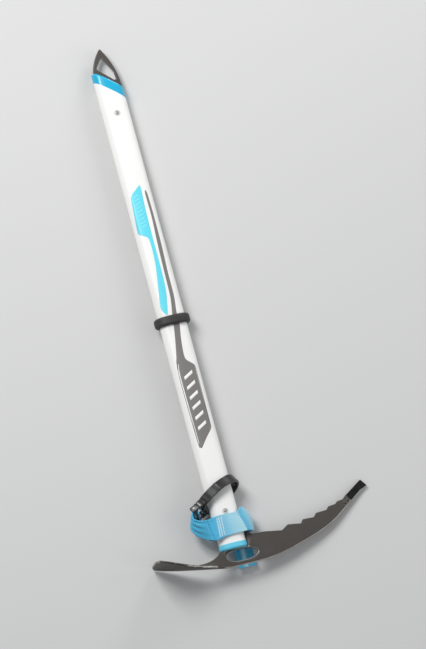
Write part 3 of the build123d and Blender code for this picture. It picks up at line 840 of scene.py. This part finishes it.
class Ribbon:
    """A tape swept along stations of (centre, half width vector, crown)."""

    def __init__(self, stations):
        table = [(*centre, *half, crown) for centre, half, crown in stations]
        curve = smooth_curve(table, 14)
        steps_mm = np.linalg.norm(np.diff(curve[:, :3], axis=0), axis=1)
        lengths = np.concatenate([[0], np.cumsum(steps_mm)])
        count = int(lengths[-1] / 0.55)
        self.s = np.linspace(0, lengths[-1], count)
        curve = np.array([np.interp(self.s, lengths, curve[:, k]) for k in range(7)]).T
        self.t = np.linspace(-1, 1, 30)
        centre, half, crown = curve[:, :3], curve[:, 3:6], curve[:, 6]
        self.half = np.linalg.norm(half, axis=1)
        self.grid = centre[:, None, :] + half[:, None, :] * self.t[None, :, None]
        normal = self.normals()
        bulge = crown[:, None] * (1 - self.t[None, :] ** 2)
        self.grid = self.grid + normal * bulge[:, :, None]

    def normals(self):
        along = np.gradient(self.grid, axis=0)
        across = np.gradient(self.grid, axis=1)
        normal = np.cross(along, across)
        return normal / np.maximum(np.linalg.norm(normal, axis=2, keepdims=True), 1e-9)

    def push(self, amount):
        """Move the surface along its normals by amount(s, t) millimetres."""
        s, t = np.meshgrid(self.s, self.t, indexing="ij")
        self.grid = self.grid + self.normals() * amount(s, t)[:, :, None]

    def at(self, s, t):
        """The point and normal at s millimetres along and t from -1 to 1 across."""
        i = int(np.clip(np.searchsorted(self.s, s), 0, len(self.s) - 1))
        j = int(np.clip(round((t + 1) / 2 * (len(self.t) - 1)), 0, len(self.t) - 1))
        return self.grid[i, j], self.normals()[i, j]

    def rolled_edge(self, normal, i, end, sign):
        """Points round the selvage at one end of row i."""
        across = self.grid[i, -1] - self.grid[i, 0]
        across /= np.linalg.norm(across)
        points = []
        for angle in (60, 25, -25, -60):
            out, up = math.cos(math.radians(angle)), math.sin(math.radians(angle))
            around = sign * across * out + normal[i, end] * up
            points.append(self.grid[i, end] + TAPE / 2 * SELVAGE * around)
        return points

    def build(self, shape, highlight_share):
        """Add the tape to the shape as a closed body with rolled selvages."""
        normal = self.normals()
        rows, columns = len(self.s), len(self.t)
        half = TAPE / 2 * np.where(np.abs(self.t) > 0.9, SELVAGE, 1.0)[:, None]
        verts, where = [], []
        for i in range(rows):
            top = self.grid[i] + normal[i] * half
            bottom = self.grid[i] - normal[i] * half
            verts += list(top) + self.rolled_edge(normal, i, columns - 1, 1)
            verts += list(bottom[::-1]) + self.rolled_edge(normal, i, 0, -1)[::-1]
            width = self.half[i]
            mm = [width * t for t in self.t]
            mm = mm + [width + 0.4] * 4 + mm[::-1] + [-width - 0.4] * 4
            # The third value of the ribbon attribute: each point's share of painted highlight
            pale = list(highlight_share[i]) + [highlight_share[i, -1]] * 4
            pale += list(highlight_share[i, ::-1]) + [highlight_share[i, 0]] * 4
            where += [(self.s[i], across, painted_highlight) for across, painted_highlight in zip(mm, pale)]
        shape.add(verts, ring_faces(rows, 2 * columns + 8), where)


def ribbon_object(name, shape):
    """Make the webbing, with its ribbon attribute for the weave."""
    piece = add_object(name, shape.verts, shape.faces, "webbing", "slider")
    layer = piece.data.attributes.new("ribbon", "FLOAT_VECTOR", "POINT")
    layer.data.foreach_set("vector", np.array(shape.where, np.float32).ravel())
    return piece


def loop_station(angle, radius):
    """A place on the tape's turn round the pin, from its inner leg over the top."""
    t = math.radians(angle)
    centre = PIN_CENTRE + radius * (math.cos(t) * LONG - math.sin(t) * ALONG_SHAFT)
    return tuple(centre), tuple(9.5 * SHORT), 0.0


# The tape's route: its turn round the pin, the strand, the front band, the ear at the right,
# the back of the wrap, and the end under the front band
turn_radius = PIN_RADIUS + 0.1 + TAPE / 2
stations = [
    (tuple(PIN_CENTRE + 0.4 * LONG + 7.0 * ALONG_SHAFT), tuple(9.0 * SHORT), 0.0),
    (tuple(PIN_CENTRE + 1.9 * LONG + 3.6 * ALONG_SHAFT), tuple(9.3 * SHORT), 0.0),
    loop_station(0, turn_radius),
    loop_station(45, turn_radius),
    loop_station(90, turn_radius),
    loop_station(135, turn_radius),
    loop_station(180, turn_radius + 0.1),
    ((-43.4, 51.0, -0.4), (-1.3, 2.6, 9.0), 0.3),
    ((-44.6, 44.6, 0.2), (0.9, 3.7, 8.6), 0.9),
    ((-40.0, 38.7, 3.4), (2.2, 6.4, 6.2), 1.4),
    ((-34.5, 35.2, 7.0), (1.4, 8.8, 4.2), 1.0),
    ((-29.0, 33.4, 9.8), (0.7, 10.6, 1.9), 0.5),
    ((-23.5, 33.0, 11.5), (0.9, 12.0, 0.4), 0.0),
    ((-14.0, 34.1, 11.9), (0.5, 11.5, 0.1), 0.1),
    ((-4.5, 34.5, 11.6), (0.0, 11.1, 0.0), 0.1),
    ((3.2, 34.7, 11.0), (-1.4, 11.0, 0.1), 0.1),
    ((8.8, 35.2, 9.4), (-2.3, 11.2, 0.2), 0.2),
    ((12.4, 36.8, 6.7), (-2.5, 13.2, 0.2), 1.1),
    ((16.3, 36.3, 2.8), (-2.1, 12.7, 0.1), 1.6),
    ((18.9, 35.4, -1.7), (-0.9, 10.4, 0.1), 1.7),
    ((18.2, 34.1, -6.6), (0.2, 9.8, 0.0), 0.9),
    ((13.8, 34.0, -10.6), (0.0, 10.0, 0.0), 0.3),
    ((6.0, 34.0, -11.9), (0.0, 10.2, 0.0), 0.0),
    ((-7.5, 34.0, -12.4), (0.0, 10.2, 0.0), 0.0),
    ((-19.0, 34.0, -11.9), (0.0, 10.2, 0.0), 0.0),
    ((-26.8, 34.0, -8.8), (0.0, 10.0, 0.0), 0.2),
    ((-30.0, 34.0, -3.0), (0.0, 9.8, 0.0), 0.3),
    ((-29.6, 34.0, 2.6), (0.0, 9.8, 0.0), 0.2),
    ((-25.6, 33.8, 7.4), (0.0, 9.8, 0.0), 0.0),
    ((-19.6, 33.6, 9.9), (0.0, 9.8, 0.0), 0.0),
    ((-16.8, 33.7, 10.5), (0.0, 9.8, 0.0), 0.0),
]
tape = Ribbon(stations)


def gathers(s, t):
    """Pleats where the tape is drawn together at the pin, fading out towards the wrap."""
    near_pin = np.exp(-(((s - 27.0) / 11.0) ** 2))
    return near_pin * np.sin(t * 9.5 + s * 0.10)


def slack(s, t):
    """Soft unevenness all along the tape."""
    return 0.18 * np.sin(s * 0.31 + 1.3 * t) * np.cos(s * 0.13 - 2.0 * t)


def find_s(tape_piece, x, low, high):
    """How far along the tape its centreline crosses x, between two distances."""
    middle = tape_piece.grid[:, tape_piece.grid.shape[1] // 2]
    near = [(abs(p[0] - x), s) for p, s in zip(middle, tape_piece.s) if low < s < high]
    return min(near)[1]


def crease(place, depth, ridge_side):
    """A sharp slanting fold across the tape, with a raised lip on one side."""

    def amount(s, t):
        offset = s - place + FOLD_SLANT * t
        lip = 0.5 * np.exp(-(((offset - 2.3 * ridge_side) / 1.5) ** 2))
        return depth * (lip - np.exp(-((offset / 0.8) ** 2)))

    return amount


left_fold = find_s(tape, LEFT_FOLD_X, 20.0, 70.0)
right_fold = find_s(tape, RIGHT_FOLD_X, 40.0, 110.0)
tape.push(gathers)
tape.push(slack)
tape.push(crease(left_fold, 1.0, -1))
tape.push(crease(right_fold, 0.8, 1))

# The tail hangs down behind the head: its places along the shaft, its depths, its half widths
tail_places = [
    (42.0, -13.9, 9.6),
    (34.0, -13.9, 9.7),
    (24.0, -13.8, 9.8),
    (12.0, -13.4, 9.8),
    (0.0, -12.9, 9.8),
    (-7.0, -12.7, 9.8),
    (-13.2, -12.8, 9.6),
]
tail = Ribbon([((TAIL_X, y, z), (-half, 0.0, 0.0), 0.0) for y, z, half in tail_places])


def ridge(s, t):
    """A soft lengthwise fold in the free part of the tail."""
    free = 1 / (1 + np.exp(-(s - 26.0) / 2.5))
    return -2.6 * free * np.exp(-(((t - TAIL_FOLD) / 0.24) ** 2))


tail.push(ridge)


def front_painted_highlight(tape_piece):
    """Painted highlight on the front band, from its middle to the right fold, and again on the
    ear.
    """
    x, y, z = (tape_piece.grid[:, :, k] for k in range(3))
    slanted = x + PAINTED_HIGHLIGHT_SLANT * (y - BAND_MIDDLE_Y)
    places = (-22, -12, -4, 7.6, 8.8, 12, 16, 20)
    # Painted highlight: strongest just before the right fold, nearly none past it, again on the
    # ear, and nothing on the back
    painted_highlight = np.interp(slanted, places, (0, 0.4, 0.75, 1.0, 0.1, 0.2, 0.6, 0.7))
    return painted_highlight * (z > -4.0)


def tail_painted_highlight(tail_piece):
    """Painted highlight along the crest of the tail's fold."""
    s, t = np.meshgrid(tail_piece.s, tail_piece.t, indexing="ij")
    free = 1 / (1 + np.exp(-(s - 28.0) / 2.5))
    return free * np.exp(-(((t - TAIL_FOLD) / 0.20) ** 2))


webbing = Shape()
tape.build(webbing, front_painted_highlight(tape))
tail.build(webbing, tail_painted_highlight(tail))
piece = ribbon_object("leash_tape", webbing)
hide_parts("leash_webbing")


# ---------------------------------------------------------------- stitching


def stitch(shape, start, end):
    """One stitch: a short capsule of thread between two points."""
    radius = 0.25
    start, end = np.asarray(start, float), np.asarray(end, float)
    axis = end - start
    length = np.linalg.norm(axis)
    profile = [(0.02, 0.0), (radius * 0.8, 0.08), (radius, 0.25), (radius, length - 0.25),
               (radius * 0.8, length - 0.08), (0.02, length)]
    lathe(shape, profile, start, axis / length, 6)


def bar_tack(shape, tape_piece, s):
    """A dense zigzag of thread right across the tape."""
    width = 1.9
    reach, pitch = 0.88, 0.05
    lift = TAPE / 2 + 0.08
    t = -reach
    side = 1
    while t < reach:
        a, normal_a = tape_piece.at(s - side * width / 2, t)
        b, normal_b = tape_piece.at(s + side * width / 2, t + pitch)
        stitch(shape, a + normal_a * lift, b + normal_b * lift)
        t += pitch
        side = -side


threads = Shape()
for x in BAR_TACK_PLACES:
    bar_tack(threads, tape, find_s(tape, x, 40.0, 85.0))
piece = add_object("leash_bar_tacks", threads.verts, threads.faces, "thread", "slider")
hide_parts("leash_stitching")


# ---------------------------------------------------------------- floor, light and camera


def resting_plane():
    """A point and the upward normal of the plane that the axe lies on.

    It is the facet of the axe's hull that is under a point near its balance point.
    """
    made = bmesh.new()
    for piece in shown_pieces():
        evaluated = piece.evaluated_get(bpy.context.evaluated_depsgraph_get())
        mesh = evaluated.to_mesh()
        for vert in mesh.vertices:
            made.verts.new(evaluated.matrix_world @ vert.co)
        evaluated.to_mesh_clear()
    bmesh.ops.convex_hull(made, input=made.verts)
    balance = Vector(NEAR_BALANCE) * MM
    best = None
    for face in made.faces:
        normal = face.normal
        if normal.z > -0.8:
            continue
        drop = (face.verts[0].co - balance).dot(normal) / normal.z
        foot = balance + Vector((0, 0, drop))
        inside = all(
            (edge_b - edge_a).cross(foot - edge_a).dot(normal) >= -1e-12
            for edge_a, edge_b in (
                (loop.vert.co.copy(), loop.link_loop_next.vert.co.copy()) for loop in face.loops
            )
        )
        if inside:
            best = (foot.copy(), -normal.copy())
    made.free()
    return best


foot, up = resting_plane()
bpy.ops.mesh.primitive_circle_add(vertices=64, radius=9.0, fill_type="NGON")
floor = bpy.context.object
floor.name = "floor"
floor.rotation_mode = "QUATERNION"
floor.rotation_quaternion = up.to_track_quat("Z", "Y")
floor.location = foot - up * 0.0002
floor.data.materials.append(backdrop("floor_card", COLOURS["floor"]))


def area_light(name, place, size, power):
    """A soft square light that looks at the middle of the shaft."""
    data = bpy.data.lights.new(name, "AREA")
    data.shape = "SQUARE"
    data.size = size
    data.energy = power
    light = bpy.data.objects.new(name, data)
    light.location = place
    aim = Vector((0.0, 0.25, 0.0)) - Vector(place)
    light.rotation_mode = "QUATERNION"
    light.rotation_quaternion = aim.to_track_quat("-Z", "Y")
    scene.collection.objects.link(light)


area_light("key", (-0.9, 1.3, 1.6), 0.9, 35.0)
area_light("fill", (1.3, -0.5, 1.3), 1.4, 7.0)
area_light("rim", (0.9, 1.4, 0.7), 0.6, 7.0)

world = bpy.data.worlds.new("studio")
world.use_nodes = True
world.node_tree.nodes["Background"].inputs["Color"].default_value = (0.93, 0.95, 1.0, 1.0)
world.node_tree.nodes["Background"].inputs["Strength"].default_value = 0.32
scene.world = world
scene.view_settings.view_transform = "Standard"

# The camera looks at a point beside the shaft, from far off, a little below and to the left.
# The target is in millimetres, the distance and the height of the view in metres.
VIEW_LEFT = math.radians(12.0)
VIEW_LOW = math.radians(10.0)
VIEW_ROLL = math.radians(15.254)
TARGET = (36.1, 256.2, 0.0)
DISTANCE = 6.0
FIELD_HEIGHT = 0.7162

back = Vector((-math.tan(VIEW_LEFT), -math.tan(VIEW_LOW), 1.0)).normalized()
shaft_up = (Vector((0, 1, 0)) - back * back.y).normalized()
shaft_right = shaft_up.cross(back)
right = math.cos(VIEW_ROLL) * shaft_right - math.sin(VIEW_ROLL) * shaft_up
top = math.sin(VIEW_ROLL) * shaft_right + math.cos(VIEW_ROLL) * shaft_up

camera_data = bpy.data.cameras.new("camera")
camera_data.sensor_fit = "AUTO"
camera_data.sensor_width = 36.0
camera_data.lens = 36.0 * DISTANCE / FIELD_HEIGHT
camera = bpy.data.objects.new("camera", camera_data)
camera.location = Vector(TARGET) * MM + back * DISTANCE
camera.rotation_mode = "QUATERNION"
camera.rotation_quaternion = Matrix((right, top, back)).transposed().to_quaternion()
scene.collection.objects.link(camera)
scene.camera = camera
